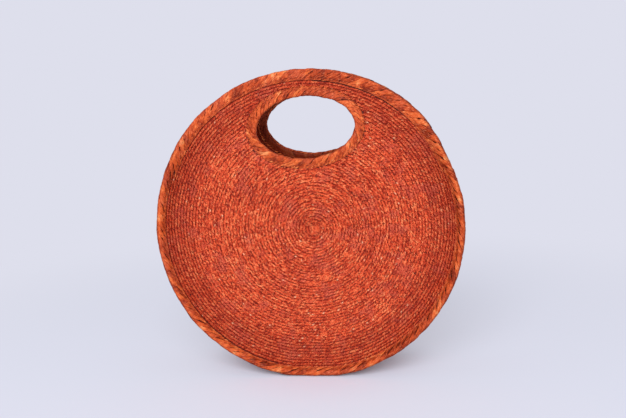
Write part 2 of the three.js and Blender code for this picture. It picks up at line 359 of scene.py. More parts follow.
def lay_straw(name, path, straw, spacing, seed, finish, wander=0.0, turn=0.0, lift=0.0, spread=0.0):
    """Lays one straw over and over along a path, and gives the plain mesh that comes of it.

    The path is its places, their directions across and out, where straw is kept, and if it closes."""
    places, across, normals, kept, closed = path
    count = len(places)
    line = bpy.data.meshes.new("path")
    links = [(i, (i + 1) % count) for i in range(count if closed else count - 1)]
    line.from_pydata(places.tolist(), links, [])
    for label, values in (("across", across), ("normal", normals)):
        attribute = line.attributes.new(label, "FLOAT_VECTOR", "POINT")
        attribute.data.foreach_set("vector", np.asarray(values, np.float32).ravel())
    attribute = line.attributes.new("kept", "FLOAT", "POINT")
    attribute.data.foreach_set("value", np.asarray(kept, np.float32))
    carrier = add_object(name, [], [])
    guide = bpy.data.objects.new("path", line)
    bpy.context.scene.collection.objects.link(guide)
    modifier = carrier.modifiers.new("lay", "NODES")
    modifier.node_group = LAY_STRAW
    values = {
        "Path": guide, "Straw": straw, "Spacing": spacing, "Seed": seed, "Wander": wander,
        "Turn": turn, "Lift": lift, "Spread": spread, "Material": finish,
    }
    for item in LAY_STRAW.interface.items_tree:
        if item.in_out == "INPUT":
            modifier[item.identifier] = values[item.name]
    bpy.context.view_layer.update()
    evaluated = carrier.evaluated_get(bpy.context.evaluated_depsgraph_get())
    carrier.data = bpy.data.meshes.new_from_object(evaluated)
    carrier.data.name = name
    carrier.data.materials.clear()
    carrier.data.materials.append(finish)
    carrier.modifiers.clear()
    bpy.data.objects.remove(guide)
    return carrier


def map_straw(made, spread, rims):
    """Writes each vertex's place on its straw, along and across it, as the UV map named straw.

    Edges between vertices of a rim stay sharp, because a leaf is flat and not a round rod."""
    uv = made.data.uv_layers.new(name="straw")
    for loop in made.data.loops:
        uv.data[loop.index].uv = spread[loop.vertex_index]
    for edge in made.data.edges:
        edge.use_edge_sharp = any(set(edge.vertices) <= rim for rim in rims)


def leaf_object(name, length, width, crown, slant, tilt=0.0, breadth=(0.0, 1.0), inside=False):
    """One short leaf of a braid, as it shows between the leaves that cross it: a closed lozenge with
    a ridge, and its low ends under its neighbours. It takes up the given breadth of its braid, and
    leaves inside the bag are mapped past 1, where the finish paints them in shade."""
    corners = [(a, b, 0.0) for a, b in ((-1, -1), (1, -1), (1, 1), (-1, 1))]
    ridge = [(0.0, -0.8, crown), (0.0, 0.8, crown)]
    places = []
    spread_map = []
    for a, b, height in corners + ridge:
        y = b * width / 2
        places.append((a * length / 2 + y / math.tan(slant), y, height + tilt * y))
        share = (b + 1) / 2
        spread_map.append(((a + 1) / 2 + inside, breadth[0] * (1 - share) + breadth[1] * share))
    made = add_object(name, places, [(4, 1, 2, 5), (0, 4, 5, 3), (0, 1, 4), (2, 3, 5), (3, 2, 1, 0)])
    map_straw(made, spread_map, [{0, 1, 2, 3}, {0, 1, 4}, {2, 3, 5}])
    return made


def dyed(red, green, blue):
    """A colour as a screen shows it, counted to 255, in the shader's linear numbers."""
    shares = [value / 255 for value in (red, green, blue)]
    return tuple(s / 12.92 if s < 0.04045 else ((s + 0.055) / 1.055) ** 2.4 for s in shares) + (1.0,)


STREAK_SHARE = 1.1
PATCH_SHARE = 0.5
RING_SHARE = 0.4
PATCHES_PER_METRE = 24.0
RINGS_PER_METRE = 80.0
FADED_PER_METRE = 55.0
# How often along the braid the painted shadow beside the leaves grows deeper and shallower.
GAP_SHADE_CHANGES_PER_METRE = 60.0
FADED_SHARE = 0.55
PALE_SHARE = 0.65
LIGHT_SPECK_SHARE = 0.7
PALE_STRAW = dyed(240, 190, 152)
LIGHT_SPECK = dyed(246, 146, 100)
# Reach from the bag's middle over which the painted shade of a disc's leaning border comes in.
BORDER_SHADE_RADII = (0.121, 0.136)
SPIRAL_CORE = (0.021, 0.011)
BORDER_PAINTED_SHADE = 0.75
# Share of painted shade on the middle of the spiral.
CORE_PAINTED_SHADE = 0.2
# Share of painted shade on the straw inside the bag.
INSIDE_PAINTED_SHADE = 0.85
FIBRE_RELIEF = 0.0004


def straw_finish(
    name, shades, blush, dark_straw_and_shade, contrast, cream_share, streak_length, fibres, fibre_contrast, specks,
    gloss, side_from, side_painted_shadow, tip_shade_and_dye, fold_dark, painted_border_shade,
):
    """Dyed straw: each leaf has its own shade, the dye changes along the braid and in patches, a few
    leaves stayed pale, and fibres run along each leaf. Its fold is darker, and painted shade darkens
    the covered side and the tips of each leaf, where the tips also have darker dye, the leaning
    border of a disc, the middle of the spiral and the inside of the bag."""
    finish = bpy.data.materials.new(name)
    finish.use_nodes = True
    finish.node_tree.nodes.clear()
    start = Wire(finish.node_tree)

    def noise(dimensions, scale, detail, sockets):
        return start.node(
            "ShaderNodeTexNoise", {"noise_dimensions": dimensions},
            {"Scale": scale, "Detail": detail, "Roughness": 0.6, **sockets},
        )

    def ramped(value, low, high):
        return start.node(
            "ShaderNodeMapRange", {"interpolation_type": "SMOOTHSTEP"},
            {"Value": value, "From Min": low, "From Max": high},
        )

    def mixed(share, first, second):
        return start.node(
            "ShaderNodeMix", {"data_type": "RGBA"}, {"Factor": share, "A": first, "B": second}
        )

    def size_of(value):
        return start.node("ShaderNodeMath", {"operation": "ABSOLUTE"}, {0: value})

    tone = start.node("ShaderNodeAttribute", {"attribute_name": "tone"}).out("Fac")
    along = start.node("ShaderNodeAttribute", {"attribute_name": "along"}).out("Fac")
    place = start.node("ShaderNodeTexCoord").out("Object")
    uv = start.node("ShaderNodeUVMap", {"uv_map": "straw"})
    mapped = start.node("ShaderNodeSeparateXYZ", None, {"Vector": uv})
    # Leaves inside the bag are mapped past 1; further down they get painted shade.
    inside = start.node("ShaderNodeMath", {"operation": "GREATER_THAN"}, {0: mapped, 1: 1.0})
    run = mapped - inside
    breadth = mapped.out("Y")
    tip = size_of(run - 0.5) * 2.0
    grain = start.node(
        "ShaderNodeCombineXYZ", None,
        {"X": run * fibres[0] + tone * 37.0, "Y": breadth * fibres[1], "Z": tone * 91.0},
    )
    fibre = noise("3D", 1.0, 2.0, {"Vector": grain})
    streak = noise("1D", 1.0 / streak_length, 3.0, {"W": along})
    patch = noise("3D", PATCHES_PER_METRE, 3.0, {"Vector": place})
    from_middle = start.node(
        "ShaderNodeVectorMath", {"operation": "MULTIPLY"}, {0: place, 1: (1.0, 0.0, 1.0)}
    )
    from_middle = start.node(
        "ShaderNodeVectorMath", {"operation": "DISTANCE"}, {0: from_middle, 1: tuple(BAG_MIDDLE)}
    )
    ring = noise("1D", RINGS_PER_METRE, 2.0, {"W": from_middle})
    shade = (
        (tone - 0.5) * contrast + (streak - 0.5) * STREAK_SHARE + (patch - 0.5) * PATCH_SHARE
        + (ring - 0.5) * RING_SHARE + (fibre - 0.5) * fibre_contrast + 0.5
    )
    colour = start.node("ShaderNodeValToRGB", {"stops": shades}, {"Fac": shade})
    faded = ramped(noise("3D", FADED_PER_METRE, 2.0, {"Vector": place}), 0.5, 0.68)
    colour = mixed(faded * FADED_SHARE, colour, blush)
    pale = start.node("ShaderNodeMath", {"operation": "GREATER_THAN"}, {0: tone, 1: 1 - cream_share})
    colour = mixed(pale * ramped(fibre, 0.42, 0.58) * PALE_SHARE, colour, PALE_STRAW)
    # Painted shadow on the side of each leaf next to the edge of the leaf covering it, deeper in some
    # stretches of the braid and on a disc's leaning border; painted shade at the tips, where the dye is
    # also darker.
    gap_shade_depth = noise("1D", GAP_SHADE_CHANGES_PER_METRE, 2.0, {"W": along + 5.0})
    gap_shade_depth = ramped(gap_shade_depth, 0.36, 0.6) * 1.1 + 0.12
    # Painted shade on a disc's leaning border, which turns away from the light.
    border = ramped(from_middle, *BORDER_SHADE_RADII) * painted_border_shade
    gaps_shade_and_dye = ramped(breadth, side_from, 1.0) * (gap_shade_depth + border * 2.0) * side_painted_shadow
    gaps_shade_and_dye = gaps_shade_and_dye + ramped(tip, 0.5, 1.0) * tip_shade_and_dye
    # The dark colour serves the darker fold, the dark specks of the grain and all the painted shade
    # below.
    colour = mixed(ramped(run, 0.5, 0.72) * fold_dark, colour, dark_straw_and_shade)
    speck = noise("3D", 1.7, 1.0, {"Vector": grain})
    colour = mixed(ramped(speck, 0.44, 0.3) * specks * LIGHT_SPECK_SHARE, colour, LIGHT_SPECK)
    colour = mixed(gaps_shade_and_dye + ramped(speck, 0.55, 0.68) * specks, colour, dark_straw_and_shade)
    # Painted shade on the middle of the spiral, the leaning border and the inside of the bag, mixed
    # towards the dark colour.
    core = ramped(from_middle, *SPIRAL_CORE)
    shaded = border * BORDER_PAINTED_SHADE + core * CORE_PAINTED_SHADE + inside * INSIDE_PAINTED_SHADE
    colour = mixed(shaded, colour, dark_straw_and_shade)
    bump = start.node(
        "ShaderNodeBump", None, {"Strength": 0.45, "Distance": FIBRE_RELIEF, "Height": fibre}
    )
    surface = start.node(
        "ShaderNodeBsdfPrincipled", None,
        {
            "Base Color": colour, "Roughness": gloss + (fibre - 0.5) * 0.3,
            "Specular IOR Level": 0.12, "Normal": bump,
        },
    )
    start.node("ShaderNodeOutputMaterial", None, {"Surface": surface})
    return finish


def ground_shade_finish():
    """The undersides of the turns, which show only between the leaves, dark as painted shade."""
    finish = bpy.data.materials.new("straw_ground_painted_shade")
    finish.use_nodes = True
    finish.node_tree.nodes.clear()
    start = Wire(finish.node_tree)
    place = start.node("ShaderNodeTexCoord").out("Object")
    grain = start.node("ShaderNodeTexNoise", None, {"Vector": place, "Scale": 420.0, "Detail": 3.0})
    # Dark colours that paint the shade in the gaps between the leaves.
    colour = start.node(
        "ShaderNodeValToRGB",
        {"stops": [(0.3, dyed(66, 15, 8)), (0.7, dyed(126, 38, 20))]}, {"Fac": grain},
    )
    bump = start.node(
        "ShaderNodeBump", None, {"Strength": 0.5, "Distance": FIBRE_RELIEF, "Height": grain}
    )
    surface = start.node(
        "ShaderNodeBsdfPrincipled", None, {"Base Color": colour, "Roughness": 0.8, "Normal": bump}
    )
    start.node("ShaderNodeOutputMaterial", None, {"Surface": surface})
    return finish


def sheet_solid(name, upper, lower, kept, finish, closed=False):
    """A closed sheet between two grids of points, where its cells are kept. Columns may close round."""
    rows, columns = upper.shape[:2]
    cells = {
        (i, j) for i in range(rows - 1) for j in range(columns if closed else columns - 1) if kept[i, j]
    }
    faces = []

    def corner(layer, i, j):
        return (layer * rows + i) * columns + j % columns

    for i, j in sorted(cells):
        loop = [(i, j), (i, j + 1), (i + 1, j + 1), (i + 1, j)]
        beside = [(i - 1, j), (i, j + 1), (i + 1, j), (i, j - 1)]
        faces.append([corner(0, *point) for point in loop])
        faces.append([corner(1, *point) for point in reversed(loop)])
        for k in range(4):
            row, column = beside[k]
            at_pole = closed and row < 0
            if not at_pole and (row, column % columns if closed else column) not in cells:
                p, q = loop[k], loop[(k + 1) % 4]
                faces.append([corner(0, *q), corner(0, *p), corner(1, *p), corner(1, *q)])
    if closed:
        faces.append([corner(0, 0, j) for j in reversed(range(columns))])
        faces.append([corner(1, 0, j) for j in range(columns)])
    made = add_object(name, np.concatenate((upper.reshape(-1, 3), lower.reshape(-1, 3))), faces)
    used = sorted({vertex for face in faces for vertex in face})
    if len(used) < len(made.data.vertices):
        order = {vertex: i for i, vertex in enumerate(used)}
        places = [made.data.vertices[vertex].co[:] for vertex in used]
        made.data.clear_geometry()
        made.data.from_pydata(places, [], [[order[vertex] for vertex in face] for face in faces])
    made.data.materials.append(finish)
    made.data.shade_smooth()
    return made


def joined(name, parts):
    """Several meshes as one piece."""
    if len(parts) > 1:
        with bpy.context.temp_override(active_object=parts[0], selected_editable_objects=parts):
            bpy.ops.object.join()
    parts[0].name = name
    parts[0].data.name = name
    return parts[0]


def hole_distance(places, hole, margin):
    """More than 1 outside a hand hole and the margin round it.

    The hole is its tilt, as it was cut by eye, its place sideways, and its middle's height."""
    tilt, sideways, height = hole
    x = places[..., 0] - sideways
    z = places[..., 2] - height
    across = (x * math.cos(tilt) + z * math.sin(tilt)) / (HOLE_WIDTH / 2 + margin)
    up = (z * math.cos(tilt) - x * math.sin(tilt)) / (HOLE_HEIGHT / 2 + margin)
    return across**2 + up**2


SEWN_STRAW = straw_finish(
    "sewn_straw",
    shades=[
        (0.05, dyed(142, 34, 18)), (0.3, dyed(195, 60, 31)), (0.55, dyed(220, 78, 43)),
        (0.8, dyed(234, 100, 55)), (0.98, dyed(242, 134, 86)),
    ],
    blush=dyed(192, 79, 63), dark_straw_and_shade=dyed(112, 20, 5), contrast=0.75, cream_share=0.009,
    streak_length=0.02, fibres=(1.6, 2.6), fibre_contrast=1.5, specks=0.9, gloss=0.62,
    # Painted shade at the covered sides, the tips and the leaning border.
    side_from=0.58, side_painted_shadow=1.0, tip_shade_and_dye=0.6, fold_dark=0.0, painted_border_shade=0.33,
)
GROUND_PAINTED_SHADE = ground_shade_finish()
outer_leaves = [
    leaf_object(
        "turn_leaf", LEAF_LENGTH, LEAF_WIDTH, crown=0.0006, slant=way * LEAF_SLANT, tilt=0.1,
        breadth=breadth,
    )
    for way, breadth in ((1, (0.0, 0.5)), (-1, (0.5, 1.0)))
]
inner_leaves = [
    leaf_object(
        "inner_leaf", length=0.0044, width=0.0038, crown=0.0007, slant=LEAF_SLANT, tilt=0.08,
        inside=True,
    )
]
start_leaf = leaf_object(
    "start_leaf", length=0.0095, width=0.0062, crown=0.0006, slant=math.radians(65),
    breadth=(-2.5, 0.5),
)

spiral_length = math.pi * DISC_RADIUS**2 / TURN_PITCH
spiral_run = np.concatenate((np.arange(0.0003, 0.02, 0.0004), np.arange(0.02, spiral_length, 0.002)))
spiral_angle = np.sqrt(4 * math.pi * spiral_run / TURN_PITCH)
spiral_reach = TURN_PITCH * spiral_angle / (2 * math.pi)
ground_angle, ground_reach = np.meshgrid(
    np.linspace(0, 2 * math.pi, 181)[:-1],
    np.concatenate((
        np.linspace(0.0005, FLAT_RADIUS, 32),
        np.linspace(FLAT_RADIUS, FLAT_RADIUS + BORDER_BEND, 5)[1:],
        np.linspace(FLAT_RADIUS + BORDER_BEND, DISC_RADIUS, 4)[1:],
    )),
)
for half, turn, hole, seed in HALVES:
    panel = f"{half}_panel"
    body = f"{half}_half"
    upper = on_disc(ground_angle, ground_reach, GROUND_TOP)[0]
    lower = on_disc(ground_angle, ground_reach, GROUND_UNDER)[0]
    beside = np.roll(upper, -1, 1)
    cell_middles = (upper[:-1] + upper[1:] + beside[:-1] + beside[1:]) / 4
    kept = hole_distance(cell_middles, hole, GROUND_FROM_HOLE) > 1
    ground = sheet_solid(
        f"{half}_disc_ground", upper @ turn, lower @ turn, kept, GROUND_PAINTED_SHADE, closed=True
    )
    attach(ground, body)
    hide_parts(panel)
    for face, direction, depth, leaves, spacing in (
        ("turns", 1, OUTER_LEAF_DEPTH, outer_leaves, LEAF_SPACING),
        ("inner_turns", -1, INNER_LEAF_DEPTH, inner_leaves, INNER_LEAF_SPACING),
    ):
        rows = []
        for row, leaf in enumerate(leaves):
            shift = ((row + 0.5) / len(leaves) - 0.5) * TURN_PITCH
            angle = direction * spiral_angle + SPIRAL_START
            places, across, normals = on_disc(angle, spiral_reach + shift, depth)
            at_seam = np.arccos(np.cos(angle)) > MOUTH_END
            bound = np.where(at_seam, SEAM_BRAID_WIDTH, MOUTH_BRAID_WIDTH) + MARGIN_GAP
            kept = (spiral_reach + shift < DISC_RADIUS - bound) & (spiral_run > LEAF_LENGTH)
            kept &= hole_distance(places, hole, HOLE_BRAID_WIDTH + MARGIN_GAP) > 1
            path = (places @ turn, across @ turn, direction * normals @ turn, kept, False)
            rows.append(lay_straw(
                f"{half}_disc_{face}", path, leaf, spacing, seed + direction + 3 * row, SEWN_STRAW,
                **LEAF_SCATTER,
            ))
        for layer, (way, aside) in enumerate(START_LEAVES):
            ends = np.array((-START_PATH, START_PATH))
            level = depth + direction * (START_LIFT + START_LAYER * layer)
            places, across, normals = on_disc(np.full(2, way), ends + START_OFF_MIDDLE, level)
            across = np.cross(normals, places[1] - places[0])
            across /= np.linalg.norm(across, axis=1)[:, None]
            places = places + across * aside
            path = (places @ turn, across @ turn, direction * normals @ turn, np.ones(2), False)
            rows.append(lay_straw(
                f"{half}_disc_{face}", path, start_leaf, 2 * START_PATH, seed + 43 + layer, SEWN_STRAW,
            ))
        turns = joined(f"{half}_disc_{face}", rows)
        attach(turns, body)
bpy.data.objects.remove(start_leaf)


# Gusset. A strip of the same braid, sewn row to row, joins the two discs round the sides and the
# bottom. Its edges turn out and lie under the leaning borders of the discs.
GUSSET_THICKNESS = 0.0022
GUSSET_UNDER = 0.0047
GUSSET_BEND = 0.020
GUSSET_END_GAP = 0.0015
GUSSET_ROW_PITCH = 0.0033
GUSSET_EDGE_BRAID = 0.0055
ROW_PAST_END = 0.06
ROW_FROM_END = 0.03
OUTER_ROWS_FROM = 0.033
OUTER_ROW_FROM_END = 0.008
GUSSET_SEED = 91
border_bend_radius = BORDER_BEND / FULL_LEAN
flange_radius = (
    FLAT_RADIUS + border_bend_radius * math.sin(FULL_LEAN) + GUSSET_UNDER * math.sin(FULL_LEAN)
)
flange_offset = (
    FACE_OFFSET + border_bend_radius * (1 - math.cos(FULL_LEAN)) - GUSSET_UNDER * math.cos(FULL_LEAN)
)
bend_middle_radius = flange_radius + GUSSET_BEND * math.sin(FULL_LEAN)
GUSSET_FLAT = flange_offset - GUSSET_BEND * math.cos(FULL_LEAN)
GUSSET_FLOOR = bend_middle_radius - GUSSET_BEND
BEND_TURN = math.pi / 2 - FULL_LEAN
GUSSET_REACH = GUSSET_FLAT + GUSSET_BEND * BEND_TURN + EDGE_STRIP
GUSSET_END = MOUTH_END + GUSSET_END_GAP / GUSSET_FLOOR


def on_gusset(angle, run, depth):
    """Points of the gusset, with the directions across its rows and out of the bag.

    The run is counted along the straw from the middle of the strip, and grows towards the back."""
    side = np.sign(run)
    size = np.abs(run)
    turned = np.clip((size - GUSSET_FLAT) / GUSSET_BEND, 0, BEND_TURN)
    strip = np.maximum(size - GUSSET_FLAT - GUSSET_BEND * BEND_TURN, 0)
    valley = GUSSET_BEND - depth
    radius = bend_middle_radius - valley * np.cos(turned) + strip * np.sin(turned)
    offset = np.minimum(size, GUSSET_FLAT) + valley * np.sin(turned) + strip * np.cos(turned)
    place = in_space(angle, radius, -side * offset)
    outwards = np.stack((np.sin(angle), 0 * angle, np.cos(angle)), axis=-1)
    forwards = np.stack((np.cos(angle), 0 * angle, -np.sin(angle)), axis=-1)
    backwards = np.array((0.0, 1.0, 0.0))
    normal = outwards * np.cos(turned)[..., None] - backwards * (side * np.sin(turned))[..., None]
    return place, np.cross(normal, forwards), normal


def blend_with_gusset(piece):
    """Bakes the placement of straw between the discs into its mesh; it is attached to neither half."""
    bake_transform(piece)


ground_run, ground_angle = np.meshgrid(
    np.concatenate((
        np.linspace(-GUSSET_REACH, -GUSSET_FLAT, 10),
        np.linspace(-GUSSET_FLAT, GUSSET_FLAT, 7)[1:-1],
        np.linspace(GUSSET_FLAT, GUSSET_REACH, 10),
    )),
    np.linspace(GUSSET_END, 2 * math.pi - GUSSET_END, 121), indexing="ij",
)
gusset_ground = sheet_solid(
    "gusset_ground", on_gusset(ground_angle, ground_run, GROUND_TOP)[0],
    on_gusset(ground_angle, ground_run, GROUND_UNDER)[0], np.ones_like(ground_run), GROUND_PAINTED_SHADE,
)
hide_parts("gusset")
blend_with_gusset(gusset_ground)

row_count = int(2 * (GUSSET_REACH - GUSSET_EDGE_BRAID) / GUSSET_ROW_PITCH)
row_runs = (np.arange(row_count) - (row_count - 1) / 2) * GUSSET_ROW_PITCH
row_angle = np.linspace(GUSSET_END - ROW_PAST_END, 2 * math.pi - GUSSET_END + ROW_PAST_END, 420)
from_end = np.where(np.abs(row_runs) > OUTER_ROWS_FROM, OUTER_ROW_FROM_END, ROW_FROM_END)[:, None]
row_kept = (row_angle > GUSSET_END + from_end) & (row_angle < 2 * math.pi - GUSSET_END - from_end)
for face, facing, depth, leaves, spacing in (
    ("gusset_turns", 1, OUTER_LEAF_DEPTH, outer_leaves, LEAF_SPACING),
    ("gusset_inner_turns", -1, INNER_LEAF_DEPTH, inner_leaves, INNER_LEAF_SPACING),
):
    parts = []
    for row, leaf in enumerate(leaves):
        shift = ((row + 0.5) / len(leaves) - 0.5) * GUSSET_ROW_PITCH
        rows = [on_gusset(row_angle, np.full_like(row_angle, run + shift), depth) for run in row_runs]
        places, across, normals = (np.concatenate(values) for values in zip(*rows))
        path = (places, facing * across, facing * normals, row_kept.ravel(), False)
        parts.append(lay_straw(
            face, path, leaf, spacing, GUSSET_SEED + facing + 3 * row, SEWN_STRAW, **LEAF_SCATTER,
        ))
    turns = joined(face, parts)
    blend_with_gusset(turns)
for leaf in outer_leaves + inner_leaves:
    bpy.data.objects.remove(leaf)


# Edge bindings. A broader braid of wide leaves is folded over the rims: over the disc alone along the
# mouth, and over disc and gusset together along the seam. A line of stitches holds its two margins.
BRAID_TOP = 0.0013
BRAID_PAST = 0.0015
MOUTH_BRAID_PITCH = 0.0096
SEAM_BRAID_PITCH = 0.0092
BRAID_SLANT = math.radians(38)
SEAM_BRAID_SLANT = math.radians(27)
STITCH_FROM_MARGIN = 0.0027
STITCH_LIFT = 0.0012
STITCH_SPACING = 0.0052
SELVAGE_FROM_MARGIN = 0.0006
SELVAGE_LIFT = 0.0007
SELVAGE_SPACING = 0.0044
STRIP_HALF_WIDTH = 0.62
STRIP_SHOWS = 0.5 / STRIP_HALF_WIDTH
STRIP_STEP = 0.0014
STRIP_SCATTER = {"wander": 0.0009, "turn": 0.015, "lift": 0.0001, "spread": 0.003}
MARGIN_SCATTER = {"wander": 0.0003, "turn": 0.06, "spread": 0.05}
SEWN_DEPTH = 0.0004
SEWN_REACH = 0.0007
TUCK_DEPTH = 0.0008
SLIT_REACH = 0.0014
FOLD_FLATTENS = 0.85
RAISED_SIDE = 0.0006
STRIP_CROWN = 0.0002
TUCKED_SIDE = -0.0004
UNDERSIDE = -0.0009
SEAM_STACK = 0.0047
EDGE_PATH_MARGIN = math.radians(20)


def folded_strips(name, leg, stack, pitch, slit_from_margin, slit_width, rows, spread=0.0, anchor=0.0):
    """The wide leaves of an edging braid, one for each row, where each runs over the crossing ones.

    The braid is folded over an edge at y = 0: down the outer face at z = 0, round and along the other
    face at z = -stack. A row is where it starts and ends on the way round, its slant, and if it
    lies inside the bag. Between two leaves a slit opens where another leaf passes under them. The
    anchor is the share of a leaf's length at which it lies on its own place of the path."""
    radius = stack / 2 + BRAID_TOP
    fold = BRAID_PAST - radius
    straight = leg + fold
    whole = 2 * straight + math.pi * radius
    strips = []
    for first, last, slant, inside in rows:
        steps = max(6, round((last - first) * whole / STRIP_STEP))
        places = []
        spread_map = []
        for share in np.linspace(0, 1, steps + 1):
            at = (first + (last - first) * share) * whole
            bend = min(max((at - straight) / radius, 0), math.pi)
            past = max(at - straight - math.pi * radius, 0)
            y = min(at, straight) - leg + radius * math.sin(bend) - past
            z = radius * math.cos(bend) - stack / 2
            from_margin = min(at, whole - at)
            sewn = SEWN_DEPTH * math.exp(-(((from_margin - STITCH_FROM_MARGIN) / SEWN_REACH) ** 2))
            tucked = TUCK_DEPTH * abs(2 * share - 1) ** 6
            slit = slit_width * math.exp(-(((from_margin - slit_from_margin) / SLIT_REACH) ** 2))
            relief = 1 - FOLD_FLATTENS * math.sin(bend)
            half_width = pitch * (STRIP_HALF_WIDTH - slit) * (1 + spread * max(-y, 0) / leg)
            middle = (share - anchor) * (last - first) * whole / math.tan(slant)
            section = (
                (-1, RAISED_SIDE * relief), (-0.1, STRIP_CROWN), (1, TUCKED_SIDE), (0, UNDERSIDE),
            )
            for b, height in section:
                height = height - (sewn + tucked if height > UNDERSIDE else tucked / 2)
                places.append((
                    middle + b * half_width, y + math.sin(bend) * height, z + math.cos(bend) * height,
                ))
                spread_map.append((share + inside, min((b + 1) / (2 * STRIP_SHOWS), 1.0)))
        faces = []
        for i in range(steps):
            for j in range(4):
                k = (j + 1) % 4
                faces.append((4 * i + j, 4 * i + k, 4 * i + 4 + k, 4 * i + 4 + j))
        faces += [(3, 2, 1, 0), tuple(4 * steps + j for j in range(4))]
        strips.append(add_object(name, places, faces))
        rims = [{4 * i + j for i in range(steps + 1)} for j in (0, 2)]
        map_straw(strips[-1], spread_map, rims)
    return strips


def thread_object(name, length, thickness):
    """One stitch: a short thread, arched, with its ends in the straw."""
    places = []
    spread_map = []
    arch = ((-1, 0.5, -0.6), (-0.6, 0.95, 0.0), (0, 1, 0.15), (0.6, 0.95, 0.0), (1, 0.5, -0.6))
    for share, width, height in arch:
        for k in range(5):
            angle = 2 * math.pi * k / 5
            places.append((
                share * length / 2, width * thickness / 2 * math.cos(angle),
                thickness * (height + width / 2 * math.sin(angle)),
            ))
            spread_map.append(((share + 1) / 2, k / 5))
    faces = []
    for i in range(4):
        for j in range(5):
            k = (j + 1) % 5
            faces.append((5 * i + j, 5 * i + 5 + j, 5 * i + 5 + k, 5 * i + k))
    faces += [(0, 1, 2, 3, 4), (24, 23, 22, 21, 20)]
    made = add_object(name, places, faces)
    map_straw(made, spread_map, [])
    return made


def bound_edge(name, surface, kept, closed, turn, strips, spacing, leg, stack, seed, selvage):
    """The braid over one edge: its folded leaves, the selvage along both margins, and the stitches.

    The surface gives the path at a shift across from the edge and a depth from the outer face."""
    places, across, normals = surface(0.0, 0.0)
    path = (places @ turn, across @ turn, normals @ turn, kept, closed)
    parts = [
        lay_straw(name, path, strip, spacing, seed + 3 * row, EDGING_BRAID, **STRIP_SCATTER)
        for row, strip in enumerate(strips)
    ]
    for facing in (1, -1):
        base = 0.0 if facing > 0 else -stack
        for straw, shift, lift, gap, finish in (
            (selvage[0], SELVAGE_FROM_MARGIN, SELVAGE_LIFT, selvage[1], EDGING_BRAID),
            (stitch_thread, STITCH_FROM_MARGIN, STITCH_LIFT, STITCH_SPACING, SEWING_THREAD),
        ):
            places, across, normals = surface(-leg + shift, base + facing * lift)
            order = slice(None, None, facing)
            path = (
                places[order] @ turn, across[order] @ turn, facing * normals[order] @ turn,
                kept[order], closed,
            )
            parts.append(lay_straw(
                name, path, straw, gap, seed + 7 + facing, finish, **MARGIN_SCATTER,
            ))
    return joined(name, parts)


EDGING_BRAID = straw_finish(
    "edging_braid",
    shades=[
        (0.05, dyed(124, 37, 15)), (0.3, dyed(174, 62, 26)), (0.55, dyed(203, 83, 37)),
        (0.8, dyed(222, 105, 50)), (0.98, dyed(238, 145, 89)),
    ],
    blush=dyed(188, 78, 50), dark_straw_and_shade=dyed(95, 21, 4), contrast=0.6, cream_share=0.0,
    streak_length=0.012, fibres=(6.0, 5.0), fibre_contrast=1.0, specks=0.6, gloss=0.55,
    # Painted shade at the covered sides and the tips.
    side_from=0.72, side_painted_shadow=0.9, tip_shade_and_dye=0.1, fold_dark=0.5, painted_border_shade=0.0,
)
SEWING_THREAD = straw_finish(
    "sewing_thread",
    shades=[(0.1, dyed(96, 28, 18)), (0.9, dyed(168, 66, 44))],
    blush=dyed(120, 44, 30), dark_straw_and_shade=dyed(80, 22, 14), contrast=0.4, cream_share=0.0,
    streak_length=0.05, fibres=(2.0, 2.0), fibre_contrast=1.5, specks=0.0, gloss=0.6,
    # Painted shade at the covered sides and the tips.
    side_from=0.62, side_painted_shadow=0.2, tip_shade_and_dye=0.3, fold_dark=0.0, painted_border_shade=0.0,
)
selvage_leaf = leaf_object(
    "selvage_leaf", length=0.0062, width=0.0018, crown=0.0008, slant=math.radians(20),
    breadth=(1.0, 0.0),
)
stitch_thread = thread_object("stitch_thread", length=0.0034, thickness=0.0006)
mouth_strips = folded_strips(
    "mouth_strip", MOUTH_BRAID_WIDTH, DISC_THICKNESS, MOUTH_BRAID_PITCH,
    slit_from_margin=0.008, slit_width=0.15,
    rows=[(0.0, 0.72, BRAID_SLANT, False), (0.68, 1.0, -BRAID_SLANT, True)],
)
seam_strips = folded_strips(
    "seam_strip", SEAM_BRAID_WIDTH, SEAM_STACK, SEAM_BRAID_PITCH,
    slit_from_margin=0.0046, slit_width=0.13,
    rows=[(0.0, 0.72, SEAM_BRAID_SLANT, False), (0.68, 1.0, -SEAM_BRAID_SLANT, False)],
)
for half, turn, hole, seed in HALVES:
    for edge, strips, stack, pitch, leg, first, last in (
        (
            "mouth", mouth_strips, DISC_THICKNESS, MOUTH_BRAID_PITCH, MOUTH_BRAID_WIDTH,
            -MOUTH_END, MOUTH_END,
        ),
        (
            "seam", seam_strips, SEAM_STACK, SEAM_BRAID_PITCH, SEAM_BRAID_WIDTH,
            MOUTH_END, 2 * math.pi - MOUTH_END,
        ),
    ):
        edge_angle = np.linspace(first - EDGE_PATH_MARGIN, last + EDGE_PATH_MARGIN, 480)
        binding = bound_edge(
            f"{half}_{edge}_braid",
            lambda shift, depth: on_disc(edge_angle, DISC_RADIUS + shift, depth),
            kept=(edge_angle > first) & (edge_angle < last), closed=False, turn=turn, strips=strips,
            spacing=pitch, leg=leg, stack=stack, seed=seed + 20,
            selvage=(selvage_leaf, SELVAGE_SPACING),
        )
        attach(binding, f"{half}_half")
        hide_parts(f"{half}_{edge}_binding")
for strip in mouth_strips + seam_strips:
    bpy.data.objects.remove(strip)


# Hand hole bindings. The same broad braid is bent round the edge of each hand hole, so its leaves
# fan out, and it is stitched along both margins.
HOLE_BRAID_GAP = 0.0015
HOLE_BRAID_PITCH = 0.0056
HOLE_BRAID_SLANT = math.radians(42)
HOLE_BRAID_LEG = HOLE_BRAID_WIDTH - HOLE_BRAID_GAP
SHORT_LEAF_SPACING = 0.0040
HOLE_STEPS = 360


